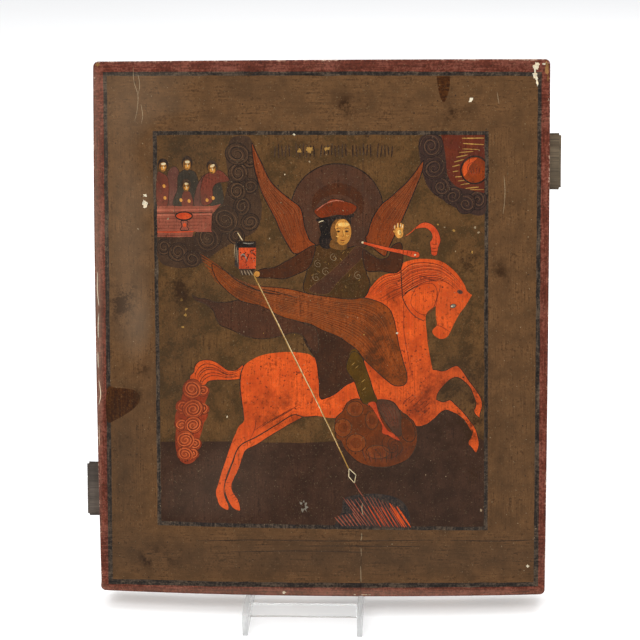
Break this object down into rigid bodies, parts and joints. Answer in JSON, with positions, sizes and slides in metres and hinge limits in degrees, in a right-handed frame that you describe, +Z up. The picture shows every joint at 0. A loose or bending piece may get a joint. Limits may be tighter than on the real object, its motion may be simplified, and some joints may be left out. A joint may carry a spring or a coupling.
{
  "type": "painted icon panel on a clear stand",
  "caption": "Painted wooden icon panel with a winged horseman, its back held flat by opposed battens, leaning on a small clear acrylic stand.",
  "frame": {"origin": "middle of the bounding box's footprint, on the surface that the stand's feet rest on", "axes": "+Z up, +X to the right as one faces the painting, the painted front towards -Y"},
  "size_m": [0.28, 0.125, 0.3168],
  "materials": {
    "painted_panel": "egg tempera over gesso on pine, under old olive-brown varnish",
    "batten_wood": "bare weathered pine, grey-brown",
    "clear_acrylic": "clear polished acrylic sheet"
  },
  "bodies": {
    "root": {"plank_left": "painted_panel", "plank_right": "painted_panel", "upper_batten": "batten_wood", "lower_batten": "batten_wood", "stand_left_plate": "clear_acrylic", "stand_right_plate": "clear_acrylic", "stand_front_bar": "clear_acrylic", "stand_rear_bar": "clear_acrylic", "stand_upper_bar": "clear_acrylic"}
  },
  "joints": []
}
